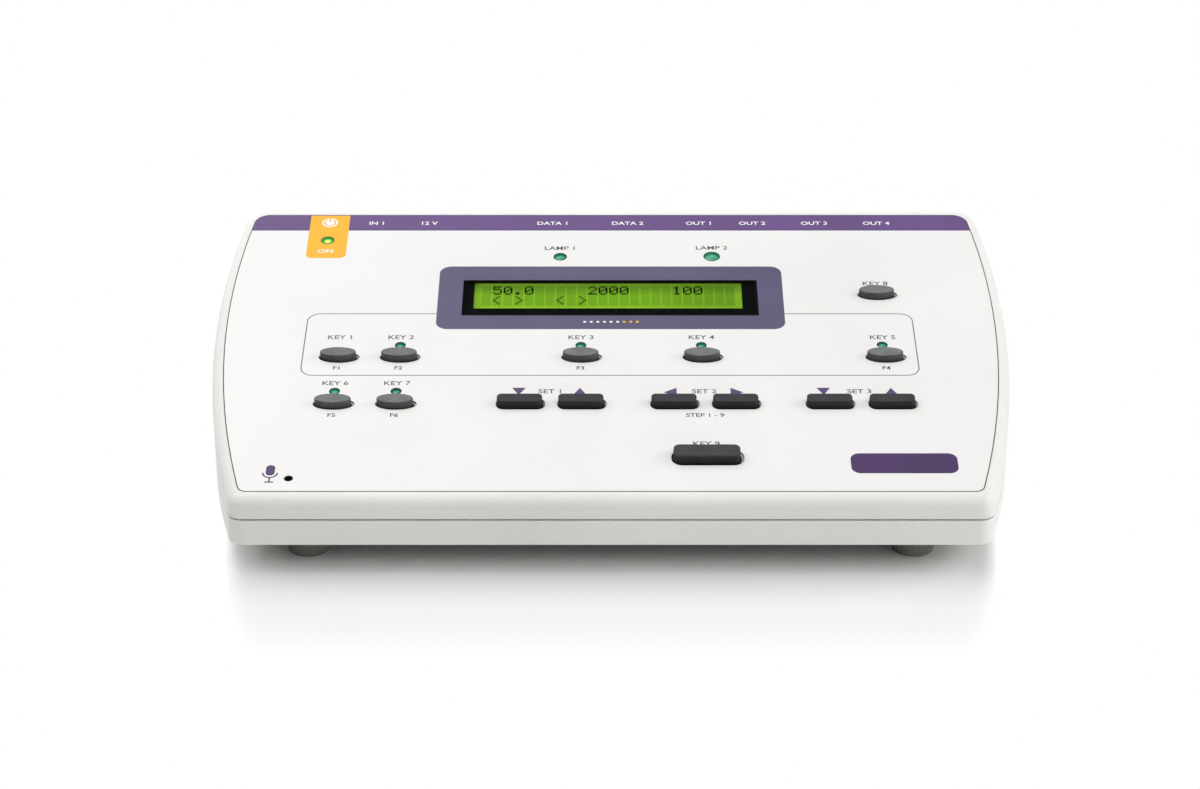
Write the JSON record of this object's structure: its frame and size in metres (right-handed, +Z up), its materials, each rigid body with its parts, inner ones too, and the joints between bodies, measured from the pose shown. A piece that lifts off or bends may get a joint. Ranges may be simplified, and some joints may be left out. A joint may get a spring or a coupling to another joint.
{
  "type": "audiometer",
  "caption": "Desktop audiometer: low white wedge case with bowed sides, sloping key panel with lamps and a lit two-line display, rear sockets and power rocker.",
  "frame": {"origin": "on the table, under the middle of the case's outline", "axes": "+X along the panel to the operator's right, +Y from the front edge to the sockets, +Z up"},
  "size_m": [0.27, 0.163, 0.0613],
  "materials": {
    "case_white": "fine spark-textured ABS",
    "overlay_white": "satin polycarbonate sheet",
    "window_clear": "clear polycarbonate",
    "bezel_black": "satin black",
    "display_green": "lit liquid crystal glass",
    "light_guide": "translucent light guide",
    "board_green": "glass-fibre board with solder mask",
    "mat_rubber": "moulded silicone",
    "key_grey": "matt moulded silicone",
    "key_black": "matt moulded silicone",
    "lamp_green": "tinted lens, unlit",
    "lamp_lit": "tinted lens, lit",
    "capsule_metal": "drawn can",
    "chip_black": "moulded packages",
    "ribbon_grey": "flat cable and shoe",
    "plate_grey": "satin moulding",
    "nut_nickel": "nickel plate",
    "socket_black": "satin moulding",
    "socket_metal": "tinned sheet",
    "rocker_black": "polished moulding",
    "foot_rubber": "matt rubber",
    "screw_steel": "zinc plate"
  },
  "bodies": {
    "case": {"top_shell": "case_white", "base_shell": "case_white", "case_screws": "screw_steel", "board_screws": "screw_steel", "panel_overlay": "overlay_white", "display_window": "window_clear", "display_bezel": "bezel_black", "display_glass": "display_green", "display_backlight": "light_guide", "display_board": "board_green", "key_board": "board_green", "keypad_mat": "mat_rubber", "microphone": "capsule_metal", "main_board": "board_green", "board_chips": "chip_black", "board_ribbons": "ribbon_grey", "rear_plate": "plate_grey", "jack_nuts": "nut_nickel", "dc_inlet": "socket_black", "dc_pin": "socket_metal", "data_socket": "socket_metal", "data_tongue": "socket_black", "serial_socket": "socket_black", "serial_core": "socket_black", "rocker_housing": "socket_black", "power_lamp": "lamp_lit", "tone_lamp": "lamp_green", "response_lamp": "lamp_green", "pulse_lamp": "lamp_green", "mask_lamp": "lamp_green", "boost_lamp": "lamp_green", "bone_lamp": "lamp_green", "left_lamp": "lamp_green", "right_lamp": "lamp_green", "foot_front_left": "foot_rubber", "foot_front_right": "foot_rubber", "foot_back_left": "foot_rubber", "foot_back_right": "foot_rubber", "response_jack": "socket_black", "insert_jack": "socket_black", "bone_jack": "socket_black", "left_jack": "socket_black", "right_jack": "socket_black"},
    "menu_button": {"menu_key": "key_grey"},
    "pulse_button": {"pulse_key": "key_grey"},
    "mask_button": {"mask_key": "key_grey"},
    "boost_button": {"boost_key": "key_grey"},
    "bone_button": {"bone_key": "key_grey"},
    "left_button": {"left_key": "key_grey"},
    "right_button": {"right_key": "key_grey"},
    "level_down_button": {"level_down_key": "key_black"},
    "level_up_button": {"level_up_key": "key_black"},
    "pitch_down_button": {"pitch_down_key": "key_black"},
    "pitch_up_button": {"pitch_up_key": "key_black"},
    "masking_down_button": {"masking_down_key": "key_black"},
    "masking_up_button": {"masking_up_key": "key_black"},
    "talk_button": {"talk_key": "key_grey"},
    "tone_button": {"tone_key": "key_black"},
    "rocker": {"power_rocker": "rocker_black"}
  },
  "joints": [
    {"name": "menu_press", "type": "slide", "parent": "case", "child": "menu_button", "axis": [0, 0.213, -0.977], "range_m": [0, 0.001], "stiffness_N_per_m": 1500},
    {"name": "pulse_press", "type": "slide", "parent": "case", "child": "pulse_button", "axis": [0, 0.213, -0.977], "range_m": [0, 0.001], "stiffness_N_per_m": 1500},
    {"name": "mask_press", "type": "slide", "parent": "case", "child": "mask_button", "axis": [0, 0.213, -0.977], "range_m": [0, 0.001], "stiffness_N_per_m": 1500},
    {"name": "boost_press", "type": "slide", "parent": "case", "child": "boost_button", "axis": [0, 0.213, -0.977], "range_m": [0, 0.001], "stiffness_N_per_m": 1500},
    {"name": "bone_press", "type": "slide", "parent": "case", "child": "bone_button", "axis": [0, 0.213, -0.977], "range_m": [0, 0.001], "stiffness_N_per_m": 1500},
    {"name": "left_press", "type": "slide", "parent": "case", "child": "left_button", "axis": [0, 0.213, -0.977], "range_m": [0, 0.001], "stiffness_N_per_m": 1500},
    {"name": "right_press", "type": "slide", "parent": "case", "child": "right_button", "axis": [0, 0.213, -0.977], "range_m": [0, 0.001], "stiffness_N_per_m": 1500},
    {"name": "level_down_press", "type": "slide", "parent": "case", "child": "level_down_button", "axis": [0, 0.213, -0.977], "range_m": [0, 0.001], "stiffness_N_per_m": 1500},
    {"name": "level_up_press", "type": "slide", "parent": "case", "child": "level_up_button", "axis": [0, 0.213, -0.977], "range_m": [0, 0.001], "stiffness_N_per_m": 1500},
    {"name": "pitch_down_press", "type": "slide", "parent": "case", "child": "pitch_down_button", "axis": [0, 0.213, -0.977], "range_m": [0, 0.001], "stiffness_N_per_m": 1500},
    {"name": "pitch_up_press", "type": "slide", "parent": "case", "child": "pitch_up_button", "axis": [0, 0.213, -0.977], "range_m": [0, 0.001], "stiffness_N_per_m": 1500},
    {"name": "masking_down_press", "type": "slide", "parent": "case", "child": "masking_down_button", "axis": [0, 0.213, -0.977], "range_m": [0, 0.001], "stiffness_N_per_m": 1500},
    {"name": "masking_up_press", "type": "slide", "parent": "case", "child": "masking_up_button", "axis": [0, 0.213, -0.977], "range_m": [0, 0.001], "stiffness_N_per_m": 1500},
    {"name": "talk_press", "type": "slide", "parent": "case", "child": "talk_button", "axis": [0, 0.213, -0.977], "range_m": [0, 0.001], "stiffness_N_per_m": 1500},
    {"name": "tone_press", "type": "slide", "parent": "case", "child": "tone_button", "axis": [0, 0.213, -0.977], "range_m": [0, 0.001], "stiffness_N_per_m": 1800},
    {"name": "power_rock", "type": "hinge", "parent": "case", "child": "rocker", "pos_m": [-0.1007, 0.0776, 0.026], "axis": [1, 0, 0], "range_deg": [-20, 0]}
  ]
}
